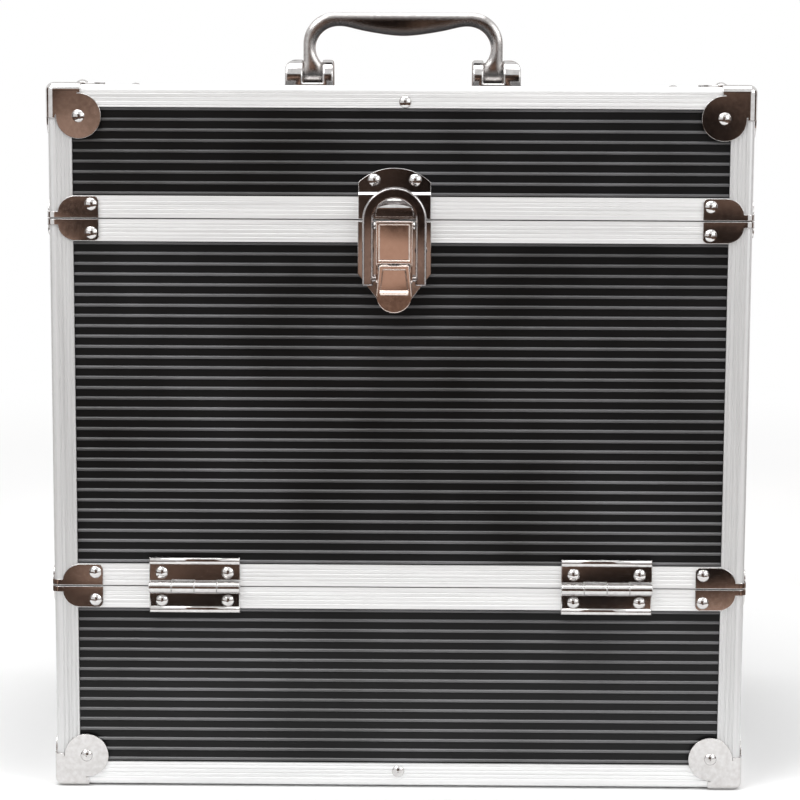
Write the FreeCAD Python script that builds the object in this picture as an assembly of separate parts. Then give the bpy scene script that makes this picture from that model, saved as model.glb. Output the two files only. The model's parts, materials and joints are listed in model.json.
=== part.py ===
import FreeCAD, Part
import math
import os

# Record carrying case with a lid hinged at the back and a front flap that folds down.
# Millimetres. +Z is up, the front faces -Y, and the case stands on z = 0.

# Case body
shell_width = 350.0
shell_depth = 250.0
lower_height = 104.0
flap_height = 186.0
lid_height = 66.0
seam_gap = 0.6
board_thickness = 5.0
lining_thickness = 3.0
lining_gap = 0.3

# Aluminium edging
profile_leg = 12.0
top_leg = 11.0
profile_wall = 1.6
profile_radius = 3.0
rim_leg = 11.0
rim_cap_wall = 1.2
rim_cap_depth = 8.0
return_gap = 0.8
groove_count = 4
groove_pitch = 2.0
groove_width = 0.9
groove_depth = 0.25
groove_slope = 0.2
rail_screw_inset = 8.0
top_screw_shift = 2.0

# Ribbed facing
rib_pitch = 5.2
rib_base = 1.9
rib_crest = 0.9
rib_height = 0.6

# Ball corners and seam braces
metal = 1.0
corner_wing = 16.5
corner_slant = 1.6
corner_notch = 4.8
disc_centre = 15.5
disc_radius = 11.2
brace_reach = 25.0
brace_height = 10.8
brace_neck_height = 3.0
brace_neck_length = 4.6
brace_arch_start = 13.2
brace_corner_radius = 2.5
brace_rivet_inset = 21.2
brace_rivet_height = 6.8
brace_arch_share = 0.3
brace_rise_share = 0.68
short_ear_reach = 11.4

# Rivets and screws
rivet_radius = 3.1
rivet_dome = 1.4
shank_radius = 1.4
shank_length = 5.0
hole_clearance = 0.05

# Hinges
hinge_width = 46.0
hinge_spacing_share = 0.5957
hinge_shift = 0.8
leaf_thickness = 1.2
leaf_height_above = 14.9
leaf_height_below = 13.5
leaf_edge = 0.5
knuckle_radius = 3.0
knuckle_count = 4
knuckle_gap = 0.3
hinge_pin_radius = 1.25
pin_clearance = 0.05
leaf_relief = 0.4
hinge_rivet_offset = 16.7
hinge_rivet_height = 7.2

# Latch
latch_shift = -3.0
keeper_width = 36.0
keeper_height = 25.6
keeper_side_height = 18.5
keeper_screw_offset = 10.2
keeper_screw_height = 19.6
hook_width = 18.6
hook_bottom = 1.6
hook_height = 11.5
hook_proud = 4.5
hook_lip = 1.6
hook_clearance = 0.4
keeper_band_height = 12.4
keeper_bend_rise = 1.2
hook_round_height = 8.0
hook_round_proud = 3.6
bail_half_width = 15.9
bail_band = 5.4
bail_thickness = 2.4
bail_top = 16.0
bail_tail = 3.2
bail_pivot_drop = 29.0
bail_stub_radius = 1.3
lever_pivot_drop = 2.6
lever_pivot_proud = 6.4
lever_width = 18.0
lever_top_drop = 0.4
lever_bottom_drop = 21.2
lever_face_proud = 9.8
lever_wall = 1.0
lever_frame = 1.5
lever_field_depth = 0.4
lever_lobe_radius = 2.4
lever_pin_radius = 1.2
ear_thickness = 0.9
ear_radius = 2.0
ear_gap = 0.3
ear_stem_drop = 2.0
base_width = 36.5
base_top_drop = 0.9
base_shoulder_drop = 27.0
base_bottom_drop = 39.5
base_bottom_width = 17.0
base_screw_drop = 15.0
base_screw_offset = 13.2
post_width = 8.0
post_top_drop = 33.6
post_bottom_drop = 35.6
post_proud = 6.4
catch_gap = 1.1
catch_top_width = 14.6
catch_low_width = 17.4
catch_ridge_drop = 36.5
catch_end_drop = 45.6
catch_pivot_drop = 23.6
catch_pivot_proud = 6.9
catch_pin_radius = 0.9
catch_knuckle_width = 14.0
catch_knuckle_slot = 5.0
tooth_width = 7.0
tooth_height = 1.4
tooth_proud = 4.5
catch_knuckle_radius = 2.1
catch_ridge_width = 1.6
catch_ridge_height = 1.0
catch_field_margin = 1.8
spring_wire_radius = 0.3
spring_coil_radius = 1.35
spring_turns = 5
spring_gap = 0.35

# Handle
bracket_span = 128.0
bracket_outer_ear = 9.6
bracket_slot = 10.6
bracket_inner_ear = 6.0
bracket_height = 15.5
bracket_depth = 19.0
bracket_floor = 3.0
bracket_outer_round = 5.5
bracket_inner_round = 1.5
handle_pin_height = 8.7
handle_pin_radius = 2.2
leg_clearance = 0.15
handle_top = 41.0
shoulder_radius = 17.0
# Places along the inside of the handle: share of its half width, share of its height
grip_inside_shares = (
    (0.84, 0.7),
    (0.76, 0.79),
    (0.64, 0.825),
    (0.47, 0.785),
    (0.25, 0.73),
    (0.0, 0.698),
)
leg_bend_share = 0.32
handle_thickness = 11.0
handle_edge_round = 2.4

overrun = 1.0

# Levels and faces worked out from the sizes above
shell_height = lower_height + flap_height + lid_height
case_bottom = metal
case_top = case_bottom + shell_height
low_seam = case_bottom + lower_height
high_seam = low_seam + flap_height
half_gap = seam_gap / 2
hinge_proud = 2 * knuckle_radius
latch_proud = lever_face_proud + catch_ridge_height
right_side = shell_width / 2
left_side = -right_side
front_face = -shell_depth / 2 + (latch_proud - hinge_proud) / 2
back_face = front_face + shell_depth
lid_floor = high_seam + half_gap
flap_top = high_seam - half_gap
flap_bottom = low_seam + half_gap
lower_top = low_seam - half_gap
panel_top = case_top - profile_wall
crest_top = panel_top + rib_height
opening_front = front_face + profile_leg + return_gap
opening_cap_depth = profile_leg + return_gap
base_floor = case_bottom + profile_wall + board_thickness
lid_ceiling = panel_top - board_thickness
lining_floor = base_floor + lining_thickness + lining_gap
inner_front = front_face + profile_wall + board_thickness
inner_back = back_face - profile_wall - board_thickness
middle_y = (front_face + back_face) / 2
bail_proud = hook_proud + hook_clearance
bail_middle = bail_proud + bail_thickness / 2
bail_centre = bail_top - bail_half_width
bail_inner = bail_half_width - bail_band
lever_back = lever_face_proud - lever_wall
hinge_spacing = shell_width * hinge_spacing_share
hinge_centres = (hinge_shift - hinge_spacing / 2, hinge_shift + hinge_spacing / 2)
axis_front = front_face - knuckle_radius
axis_back = back_face + knuckle_radius

X = FreeCAD.Vector(1, 0, 0)
Y = FreeCAD.Vector(0, 1, 0)
Z = FreeCAD.Vector(0, 0, 1)
ORIGIN = FreeCAD.Vector(0, 0, 0)
OCTANTS = [(sx, sy) for sx in (-1, 1) for sy in (-1, 1)]


def point(x, y, z):
    return FreeCAD.Vector(x, y, z)


def block(x0, x1, y0, y1, z0, z1):
    return Part.makeBox(x1 - x0, y1 - y0, z1 - z0, point(x0, y0, z0))


def outline_face(edges):
    return Part.Face(Part.Wire(edges))


def line(a, b):
    return Part.makeLine(a, b)


def arc(a, middle, b):
    return Part.Arc(a, middle, b).toShape()


def prism(points, sweep):
    return Part.Face(Part.makePolygon(points + points[:1])).extrude(sweep)


def rod(start, direction, radius, length):
    return Part.makeCylinder(radius, length, start, direction)


def joined(shapes):
    return shapes[0].multiFuse(shapes[1:]).removeSplitter()


def group(shapes):
    return Part.makeCompound(shapes)


def mirrored(shape, sx, sy, sz):
    """A copy of the shape, reflected in each plane through the origin whose sign is negative."""
    shape = shape.copy()
    for sign, normal in ((sx, X), (sy, Y), (sz, Z)):
        if sign < 0:
            shape = shape.mirror(ORIGIN, normal)
    return shape


def placed(shape, sx, sy, sz, corner):
    shape = mirrored(shape, sx, sy, sz)
    shape.translate(corner)
    return shape


def side_x(sign):
    return right_side if sign > 0 else left_side


def side_y(sign):
    return back_face if sign > 0 else front_face


# Edging


def grooved_line(start, along, inward, length, first):
    """Points of a profile's outer face, with its shallow lengthwise grooves."""
    points = [start]
    for i in range(groove_count):
        at = first + i * groove_pitch
        for step, depth in (
            (0, 0),
            (groove_slope, groove_depth),
            (groove_width - groove_slope, groove_depth),
            (groove_width, 0),
        ):
            points.append(start + along * (at + step) + inward * depth)
    points.append(start + along * length)
    return points


def chain(points):
    return [line(a, b) for a, b in zip(points, points[1:])]


def edge_angle(corner, u, v, sweep, second=profile_leg):
    """Rounded aluminium angle: its outer corner is at corner, its legs run along u and v."""
    wall = profile_wall
    radius = profile_radius
    flat = profile_leg - radius
    second_flat = second - radius
    margin = (groove_pitch - groove_width) / 2
    grooves = groove_count * groove_pitch
    leg_u = grooved_line(corner + u * radius, u, v, flat, (flat - grooves) / 2 + margin)
    leg_v = grooved_line(corner + v * radius, v, u, second_flat, (second_flat - grooves) / 2 + margin)
    inside = [
        leg_u[-1],
        corner + u * profile_leg + v * wall,
        corner + (u + v) * wall,
        corner + v * second + u * wall,
        leg_v[-1],
    ]
    turn = radius * (1 - math.sqrt(0.5))
    edges = chain(leg_u) + chain(inside) + chain(leg_v[::-1])
    edges.append(arc(leg_v[0], corner + (u + v) * turn, leg_u[0]))
    return outline_face(edges).extrude(sweep)


def rim_angle(corner, away, inward, sweep, cap_depth):
    """Rim band beside a seam, whose cap covers the edge of the board."""
    first = (rim_leg - groove_count * groove_pitch) / 2 + (groove_pitch - groove_width) / 2
    outer = grooved_line(corner, away, inward, rim_leg, first)
    rest = [
        corner + away * rim_leg + inward * profile_wall,
        corner + away * rim_cap_wall + inward * profile_wall,
        corner + away * rim_cap_wall + inward * cap_depth,
        corner + inward * cap_depth,
    ]
    return prism(outer + rest, sweep)


def envelope(low, high):
    """The case's outer form between two heights, with rounded upright edges."""
    form = block(left_side, right_side, front_face, back_face, low, high)
    upright = [e for e in form.Edges if abs(e.tangentAt(e.FirstParameter).z) > 0.5]
    return form.makeFillet(profile_radius, upright)


def rounded_case():
    """The closed case's outer form with every edge rounded."""
    form = block(left_side, right_side, front_face, back_face, case_bottom, case_top)
    return form.makeFillet(profile_radius, form.Edges)


def long_rail(sy, level, sz, leg):
    """Full-width rail along the front or back edge of the top or the base."""
    corner = point(left_side, side_y(sy), level)
    bar = edge_angle(corner, Y * -sy, Z * -sz, X * shell_width, leg)
    return bar.common(rounded_case())


def side_rail(sx, level, sz, leg):
    corner = point(side_x(sx), front_face + profile_leg, level)
    return edge_angle(corner, X * -sx, Z * -sz, Y * (shell_depth - 2 * profile_leg), leg)


def post(sx, sy, low, high):
    corner = point(side_x(sx), side_y(sy), low)
    return edge_angle(corner, X * -sx, Y * -sy, Z * (high - low))


def cross_rim(sy, level, sz, cap_depth):
    """Rim band across the front or back, between the posts, with a cap that passes over their ends."""
    face = side_y(sy)
    band = rim_angle(
        point(left_side, face, level), Z * sz, Y * -sy, X * shell_width, cap_depth
    )
    for sx in (-1, 1):
        outer = side_x(sx) + sx * overrun
        inner = side_x(sx) - sx * profile_leg
        low = level + sz * rim_cap_wall
        high = level + sz * (rim_leg + overrun)
        deep = face - sy * (profile_wall + overrun)
        band = band.cut(
            block(
                min(outer, inner),
                max(outer, inner),
                min(face + sy * overrun, deep),
                max(face + sy * overrun, deep),
                min(low, high),
                max(low, high),
            )
        )
    return band.common(envelope(case_bottom - overrun, case_top + overrun))


def side_rim(sx, level, sz, front, back, band_front, band_back):
    """Rim band along a side: its cap runs from front to back, its band only between the posts."""
    corner = point(side_x(sx), front, level)
    rim = rim_angle(corner, Z * sz, X * -sx, Y * (back - front), rim_cap_depth)
    for start, end in ((front - overrun, band_front), (band_back, back + overrun)):
        low = level + sz * rim_cap_wall
        high = level + sz * (rim_leg + overrun)
        outer = side_x(sx) + sx * overrun
        deep = side_x(sx) - sx * (profile_wall + overrun)
        rim = rim.cut(
            block(
                min(outer, deep), max(outer, deep), start, end, min(low, high), max(low, high)
            )
        )
    return rim


# Laminated panels


def ribs(origin, across, along, outward, width, length):
    """Ribbed facing: a comb section across the panel, drawn out along it, sunk into the board."""
    count = int((width - rib_base) // rib_pitch) + 1
    first = (width - (count - 1) * rib_pitch) / 2
    points = [origin - outward * overrun, origin]
    for i in range(count):
        centre = origin + across * (first + i * rib_pitch)
        points.append(centre - across * (rib_base / 2))
        points.append(centre - across * (rib_crest / 2) + outward * rib_height)
        points.append(centre + across * (rib_crest / 2) + outward * rib_height)
        points.append(centre + across * (rib_base / 2))
    points.append(origin + across * width)
    points.append(origin + across * width - outward * overrun)
    return prism(points, along * length)


def front_facing(sy, low, high):
    face = side_y(sy) - sy * profile_wall
    origin = point(left_side + profile_leg, face, low)
    return ribs(origin, Z, X, Y * sy, high - low, shell_width - 2 * profile_leg)


def side_facing(sx, low, high, front, back):
    face = side_x(sx) - sx * profile_wall
    return ribs(point(face, front, low), Z, Y, X * sx, high - low, back - front)


def cross_board(sy, low, high):
    """Front or back board, the full width inside the edging."""
    near = side_y(sy) - sy * profile_wall
    far = near - sy * board_thickness
    return block(
        left_side + profile_wall, right_side - profile_wall, min(near, far), max(near, far), low, high
    )


def side_board(sx, low, high, front, back):
    near = side_x(sx) - sx * profile_wall
    far = near - sx * board_thickness
    return block(min(near, far), max(near, far), front, back, low, high)


def flat_board(low):
    return block(
        left_side + profile_wall,
        right_side - profile_wall,
        front_face + profile_wall,
        back_face - profile_wall,
        low,
        low + board_thickness,
    )


def notch(front, low):
    """Everything ahead of a depth and above a height, for the step where the flap closes."""
    return block(
        left_side - overrun,
        right_side + overrun,
        front_face - overrun,
        front,
        low,
        case_top + overrun,
    )


def lower_side_panel(sx):
    """Side panel of the case body, stepped back above the low seam to clear the flap's returns."""
    top = flap_top - rim_cap_wall
    board = side_board(
        sx,
        base_floor,
        top,
        front_face + profile_wall + board_thickness,
        back_face - profile_wall - board_thickness,
    )
    facing = side_facing(
        sx,
        case_bottom + profile_leg,
        flap_top - rim_leg,
        front_face + profile_leg,
        back_face - profile_leg,
    )
    board = board.cut(notch(opening_front + rim_cap_wall, lower_top - rim_cap_wall))
    facing = facing.cut(notch(opening_front + rim_leg, lower_top - rim_cap_wall))
    return joined([board, facing])


def lid_side_panel(sx):
    board = side_board(
        sx,
        lid_floor + rim_cap_wall,
        lid_ceiling,
        front_face + profile_wall + board_thickness,
        back_face - profile_wall - board_thickness,
    )
    facing = side_facing(
        sx,
        lid_floor + rim_leg,
        case_top - top_leg,
        front_face + profile_leg,
        back_face - profile_leg,
    )
    return joined([board, facing])


def lid_top_panel():
    origin = point(left_side + profile_leg, front_face + profile_leg, panel_top)
    facing = ribs(
        origin, Y, X, Z, shell_depth - 2 * profile_leg, shell_width - 2 * profile_leg
    )
    return joined([flat_board(lid_ceiling), facing])


def flap_panel():
    """Front board of the flap, with the strips under its side returns."""
    low = flap_bottom + rim_cap_wall
    high = flap_top - rim_cap_wall
    parts = [cross_board(-1, low, high), front_facing(-1, flap_bottom + rim_leg, flap_top - rim_leg)]
    back_of_board = front_face + profile_wall + board_thickness
    for sx in (-1, 1):
        parts.append(side_board(sx, low, high, back_of_board, front_face + profile_leg))
    return joined(parts)


def opening_post(sx):
    """Upright band along the side panel's edge, where the flap closes."""
    start = lower_top - rim_cap_wall
    corner = point(side_x(sx), opening_front, start)
    return rim_angle(corner, Y, X * -sx, Z * (flap_top - rim_cap_wall - start), rim_cap_depth)


# Linings


def side_lining(sx, low, high, front, back):
    near = side_x(sx) - sx * (profile_wall + board_thickness)
    far = near - sx * lining_thickness
    return block(min(near, far), max(near, far), front, back, low, high)


def cross_lining(sy, low, high):
    near = side_y(sy) - sy * (profile_wall + board_thickness)
    far = near - sy * lining_thickness
    half = shell_width / 2 - profile_wall - board_thickness - lining_thickness - lining_gap
    return block(-half, half, min(near, far), max(near, far), low, high)


def floor_lining(low):
    inset = profile_wall + board_thickness + lining_gap
    return block(
        left_side + inset,
        right_side - inset,
        front_face + inset,
        back_face - inset,
        low,
        low + lining_thickness,
    )


def lower_side_lining(sx):
    gap = rim_cap_wall + lining_gap
    front = inner_front + lining_gap
    back = inner_back - lining_gap
    lining = side_lining(sx, lining_floor, flap_top - gap, front, back)
    return lining.cut(notch(opening_front + gap, lower_top - gap))


# Corners and braces


def rounded_block(offset, radius, size):
    """Cube whose three edges at its lowest corner are rounded, offset outwards from the case."""
    form = block(-offset, size, -offset, size, -offset, size)
    corner = point(-offset, -offset, -offset)
    edges = [e for e in form.Edges if min((v.Point - corner).Length for v in e.Vertexes) < hole_clearance]
    return form.makeFillet(radius, edges)


def corner_mask():
    """One leaf of the corner seen square on: a notched square joined to a disc."""
    low = -metal - overrun
    start = point(low, low, low)
    wing = corner_wing
    slant = wing - corner_slant
    shape = [
        start,
        point(wing, low, low),
        point(wing, 0, low),
        point(slant, corner_notch, low),
        point(disc_centre, disc_centre, low),
        point(corner_notch, slant, low),
        point(0, wing, low),
        point(low, wing, low),
    ]
    deep = profile_radius + metal - low
    leaf = prism(shape, Z * deep)
    disc = rod(point(disc_centre, disc_centre, low), Z, disc_radius, deep)
    return leaf.fuse(disc)


def corner_cap(flush):
    """Ball corner with three disc leaves, drilled for its rivets; one leaf may take a flush rivet."""
    size = disc_centre + disc_radius + overrun
    shell = rounded_block(metal, profile_radius + metal, size).cut(
        rounded_block(0, profile_radius, size + overrun)
    )
    mask = corner_mask()
    masks = [mask]
    for turn in (1, 2):
        other = mask.copy()
        other.rotate(ORIGIN, FreeCAD.Vector(1, 1, 1), turn * 360 / 3)
        masks.append(other)
    cap = shell.common(masks[0].multiFuse(masks[1:]))
    if flush:
        hole = rod(
            point(disc_centre, disc_centre, -metal - overrun),
            Z,
            rivet_radius + hole_clearance,
            metal + 2 * overrun,
        )
        cap = cap.cut(hole)
    return cap


def brace_ear(reach):
    """Outline of one ear in the plane y = 0: a low neck at the edge, then a half-moon."""
    low = -metal - overrun
    neck = brace_neck_length
    top = brace_height
    turn = brace_corner_radius
    bend = turn * (1 - math.sqrt(0.5))
    if reach < brace_reach:
        return [
            line(point(low, 0, 0), point(low, 0, brace_neck_height)),
            line(point(low, 0, brace_neck_height), point(neck, 0, brace_neck_height)),
            arc(
                point(neck, 0, brace_neck_height),
                point((neck + reach) / 2, 0, top - turn),
                point(reach, 0, brace_neck_height),
            ),
            line(point(reach, 0, brace_neck_height), point(reach, 0, 0)),
            line(point(reach, 0, 0), point(low, 0, 0)),
        ]
    rise = brace_arch_start - neck
    shoulder_height = brace_neck_height + (top - brace_neck_height) * brace_rise_share
    shoulder = point(neck + rise * brace_arch_share, 0, shoulder_height)
    return [
        line(point(low, 0, 0), point(low, 0, brace_neck_height)),
        line(point(low, 0, brace_neck_height), point(neck, 0, brace_neck_height)),
        arc(point(neck, 0, brace_neck_height), shoulder, point(brace_arch_start, 0, top)),
        line(point(brace_arch_start, 0, top), point(reach - turn, 0, top)),
        arc(
            point(reach - turn, 0, top),
            point(reach - bend, 0, top - bend),
            point(reach, 0, top - turn),
        ),
        line(point(reach, 0, top - turn), point(reach, 0, 0)),
        line(point(reach, 0, 0), point(low, 0, 0)),
    ]


def seam_brace(side_reach):
    """Brace that wraps an upright edge beside a seam, with an ear on each face."""
    size = brace_reach + overrun
    outer = block(-metal, size, -metal, size, 0, brace_height)
    inner = block(0, size + overrun, 0, size + overrun, -overrun, brace_height + overrun)
    shapes = []
    for form, offset, radius in ((outer, metal, profile_radius + metal), (inner, 0, profile_radius)):
        corner = point(-offset, -offset, 0)
        edges = [
            e
            for e in form.Edges
            if all(abs(v.Point.x - corner.x) + abs(v.Point.y - corner.y) < hole_clearance for v in e.Vertexes)
        ]
        shapes.append(form.makeFillet(radius, edges))
    wrap = shapes[0].cut(shapes[1])
    deep = profile_radius + 2 * metal + overrun
    front_ear = outline_face(brace_ear(brace_reach)).extrude(Y * deep)
    front_ear.translate(Y * (-metal - overrun))
    side_ear = outline_face(brace_ear(side_reach)).extrude(Y * deep)
    side_ear.translate(Y * (-metal - overrun))
    side_ear = side_ear.mirror(ORIGIN, FreeCAD.Vector(1, -1, 0))
    return wrap.common(front_ear.fuse(side_ear))


def braces(level, sz, rows, side_reach):
    """Braces of one shell beside one seam: rows lists the sides, front or back, that have them."""
    brace = seam_brace(side_reach)
    return [
        placed(brace, -sx, -sy, sz, point(side_x(sx), side_y(sy), level))
        for sy in rows
        for sx in (-1, 1)
    ]


# Rivets


def turned(shape, at, outward):
    shape.Placement = FreeCAD.Placement(at, FreeCAD.Rotation(Z, outward))
    return shape


def rivet(at, outward):
    """Domed rivet whose head is seated at a point, with its shank running inwards."""
    ball = (rivet_radius**2 + rivet_dome**2) / (2 * rivet_dome)
    middle = math.asin(rivet_radius / ball) / 2
    edges = [
        line(point(0, 0, -shank_length), point(shank_radius, 0, -shank_length)),
        line(point(shank_radius, 0, -shank_length), point(shank_radius, 0, 0)),
        line(point(shank_radius, 0, 0), point(rivet_radius, 0, 0)),
        arc(
            point(rivet_radius, 0, 0),
            point(ball * math.sin(middle), 0, rivet_dome - ball * (1 - math.cos(middle))),
            point(0, 0, rivet_dome),
        ),
        line(point(0, 0, rivet_dome), point(0, 0, -shank_length)),
    ]
    return turned(outline_face(edges).revolve(ORIGIN, Z, 360), at, outward)


def flush_rivet(at, outward):
    head = rod(point(0, 0, -metal), Z, rivet_radius, metal)
    shank = rod(point(0, 0, -shank_length), Z, shank_radius, shank_length - metal)
    return turned(head.fuse(shank), at, outward)


def shank_hole(at, outward):
    depth = shank_length + hole_clearance
    return rod(at - outward * depth, outward, shank_radius + hole_clearance, depth + overrun)


def corner_seats(level, sz):
    """Rivet seats on the side leaves of the four corners at the top or the base."""
    seats = []
    for sx, sy in OCTANTS:
        x = side_x(sx)
        y = side_y(sy)
        z = level - sz * disc_centre
        seats.append((point(x - sx * disc_centre, y + sy * metal, z), Y * sy))
        seats.append((point(x + sx * metal, y - sy * disc_centre, z), X * sx))
    return seats


def flat_seats(level, sz):
    """Rivet seats on the top or bottom leaves of the four corners."""
    return [
        (point(side_x(sx) - sx * disc_centre, side_y(sy) - sy * disc_centre, level + sz * metal), Z * sz)
        for sx, sy in OCTANTS
    ]


def brace_seats(level, sz, rows, on_sides):
    z = level + sz * brace_rivet_height
    seats = []
    for sy in rows:
        for sx in (-1, 1):
            x = side_x(sx)
            y = side_y(sy)
            seats.append((point(x - sx * brace_rivet_inset, y + sy * metal, z), Y * sy))
            if on_sides:
                seats.append((point(x + sx * metal, y - sy * brace_rivet_inset, z), X * sx))
    return seats


def hinge_seats(sy, level, sz):
    y = side_y(sy) + sy * leaf_thickness
    return [
        (point(centre + side * hinge_rivet_offset, y, level + sz * hinge_rivet_height), Y * sy)
        for centre in hinge_centres
        for side in (-1, 1)
    ]


def rail_seats(level, sz):
    """Screws at the middle of the rails along the top or the base."""
    z = level - sz * rail_screw_inset
    middle = (front_face + back_face) / 2
    across = top_screw_shift if sz > 0 else 0
    seats = [(point(across, side_y(sy), z), Y * sy) for sy in (-1, 1)]
    seats += [(point(side_x(sx), middle, z), X * sx) for sx in (-1, 1)]
    return seats


def drilled(shape, seats):
    """The shape with a hole for each shank that enters it."""
    box = shape.BoundBox
    holes = [shank_hole(at, outward) for at, outward in seats]
    holes = [hole for hole in holes if box.intersect(hole.BoundBox)]
    return shape.cut(group(holes)) if holes else shape


# Hinges


def hinge_leaf(first, height):
    """Leaf that stands on the plane y = 0, its barrel along X at the bottom; first picks its knuckles."""
    half = hinge_width / 2
    root = knuckle_radius + leaf_relief
    plate = block(-half, half, -leaf_thickness, 0, root, height)
    rim = [
        e
        for e in plate.Edges
        if all(v.Point.y < -leaf_thickness / 2 for v in e.Vertexes)
        and max(v.Point.z for v in e.Vertexes) > height - leaf_edge
    ]
    parts = [plate.makeFillet(leaf_edge, rim)]
    step = hinge_width / knuckle_count
    for i in range(first, knuckle_count, 2):
        low = -half + i * step + knuckle_gap / 2
        length = step - knuckle_gap
        parts.append(block(low, low + length, -leaf_thickness, 0, 0, root + leaf_edge))
        parts.append(rod(point(low, -knuckle_radius, 0), X, knuckle_radius, length))
    bore = rod(
        point(-half - overrun, -knuckle_radius, 0),
        X,
        hinge_pin_radius + pin_clearance,
        hinge_width + 2 * overrun,
    )
    return joined(parts).cut(bore)


def leaves(sy, level, sz, first, height):
    leaf = hinge_leaf(first, height)
    return [
        placed(leaf, 1, -sy, sz, point(centre, side_y(sy), level)) for centre in hinge_centres
    ]


def hinge_pins(axis_y, level):
    return [
        rod(point(centre - hinge_width / 2, axis_y, level), X, hinge_pin_radius, hinge_width)
        for centre in hinge_centres
    ]


# Latch, built with its base on the plane y = 0 and the high seam at z = 0


def at_latch(shape):
    shape.translate(point(latch_shift, front_face, high_seam))
    return shape


def side_outline(points, x, width):
    """Solid whose side view is a list of (proud, height) points."""
    return prism([point(x, -proud, height) for proud, height in points], X * width)


def cross_rod(proud, height, radius, half):
    return rod(point(-half, -proud, height), X, radius, 2 * half)


def keeper_seats():
    y = front_face
    z = high_seam + keeper_screw_height
    return [
        (point(latch_shift + side * keeper_screw_offset, y, z), -Y) for side in (-1, 1)
    ]


def base_seats():
    y = front_face - metal
    z = high_seam - base_screw_drop
    return [(point(latch_shift + side * base_screw_offset, y, z), -Y) for side in (-1, 1)]


def keeper():
    """Keeper on the lid: a bent plate with a domed top, and the half-dome that the bail passes round."""
    half = keeper_width / 2
    low = half_gap
    bend = keeper_band_height
    rise = keeper_bend_rise
    plate = side_outline(
        [
            (0, low),
            (metal, low),
            (metal, bend),
            (0, bend + rise),
            (0, keeper_height + overrun),
            (-metal, keeper_height + overrun),
            (-metal, bend + rise / 2),
            (0, bend - rise / 2),
        ],
        -half,
        keeper_width,
    )
    outline = [
        line(point(-half, 0, low), point(half, 0, low)),
        line(point(half, 0, low), point(half, 0, keeper_side_height)),
        arc(
            point(half, 0, keeper_side_height),
            point(0, 0, keeper_height),
            point(-half, 0, keeper_side_height),
        ),
        line(point(-half, 0, keeper_side_height), point(-half, 0, low)),
    ]
    mask = outline_face(outline).extrude(Y * (4 * metal))
    mask.translate(Y * (-2 * metal))
    return joined([plate.common(mask), hook()])


def hook():
    half = hook_width / 2
    low = hook_bottom
    lip = hook_bottom + hook_lip
    front_view = [
        line(point(-half, 0, low), point(half, 0, low)),
        arc(point(half, 0, low), point(0, 0, hook_height), point(-half, 0, low)),
    ]
    dome = outline_face(front_view).extrude(Y * -hook_proud)
    side_view = [
        line(point(-half, 0, low), point(-half, -hook_proud, low)),
        line(point(-half, -hook_proud, low), point(-half, -hook_proud, lip)),
        arc(
            point(-half, -hook_proud, lip),
            point(-half, -hook_round_proud, hook_round_height),
            point(-half, -metal, hook_height),
        ),
        line(point(-half, -metal, hook_height), point(-half, 0, hook_height)),
        line(point(-half, 0, hook_height), point(-half, 0, low)),
    ]
    return dome.common(outline_face(side_view).extrude(X * hook_width))


def latch_base():
    """Base plate with two ears for the lever's pin and the post that the catch's tooth rests under."""
    half = base_width / 2
    low_half = base_bottom_width / 2
    plate = prism(
        [
            point(-half, 0, -base_top_drop),
            point(half, 0, -base_top_drop),
            point(half, 0, -base_shoulder_drop),
            point(low_half, 0, -base_bottom_drop),
            point(-low_half, 0, -base_bottom_drop),
            point(-half, 0, -base_shoulder_drop),
        ],
        Y * -metal,
    )
    parts = [plate]
    for side in (-1, 1):
        inner = lever_width / 2 + ear_gap
        x = inner if side > 0 else -inner - ear_thickness
        stem = block(
            x,
            x + ear_thickness,
            -lever_pivot_proud,
            0,
            -lever_pivot_drop - ear_stem_drop,
            -lever_pivot_drop + ear_stem_drop,
        )
        head = rod(point(x, -lever_pivot_proud, -lever_pivot_drop), X, ear_radius, ear_thickness)
        parts.append(stem.fuse(head))
    parts.append(
        block(-post_width / 2, post_width / 2, -post_proud, 0, -post_bottom_drop, -post_top_drop)
    )
    bore = cross_rod(
        lever_pivot_proud, -lever_pivot_drop, lever_pin_radius + pin_clearance, base_width
    )
    return joined(parts).cut(bore)


def lever():
    """Latch lever: a framed face plate between two side flanges that reach down to the bail's pivot."""
    half = lever_width / 2
    face = lever_face_proud
    low = -lever_bottom_drop
    top = -lever_top_drop
    plate = block(-half, half, -face, -lever_back, low, top)
    field = block(
        -half + lever_frame,
        half - lever_frame,
        -face - overrun,
        -face + lever_field_depth,
        low + lever_frame,
        top - lever_frame,
    )
    parts = [plate.cut(field)]
    lobe = lever_lobe_radius
    pivot = -bail_pivot_drop
    for x in (-half, half - lever_wall):
        edges = chain(
            [
                point(x, -bail_middle - lobe, pivot),
                point(x, -face, low),
                point(x, -face, top),
                point(x, -lever_pivot_proud, top),
                point(x, -lever_pivot_proud + ear_radius, -lever_pivot_drop),
                point(x, -bail_middle + lobe, pivot),
            ]
        )
        edges.append(
            arc(
                point(x, -bail_middle + lobe, pivot),
                point(x, -bail_middle, pivot - lobe),
                point(x, -bail_middle - lobe, pivot),
            )
        )
        parts.append(outline_face(edges).extrude(X * lever_wall))
    bores = group(
        [
            cross_rod(lever_pivot_proud, -lever_pivot_drop, lever_pin_radius + pin_clearance, lever_width),
            cross_rod(bail_middle, pivot, bail_stub_radius + pin_clearance, lever_width),
            cross_rod(catch_pivot_proud, -catch_pivot_drop, catch_pin_radius + pin_clearance, lever_width),
        ]
    )
    return joined(parts).cut(bores)


def lever_pin():
    half = lever_width / 2 + ear_gap + ear_thickness
    return cross_rod(lever_pivot_proud, -lever_pivot_drop, lever_pin_radius, half)


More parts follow.
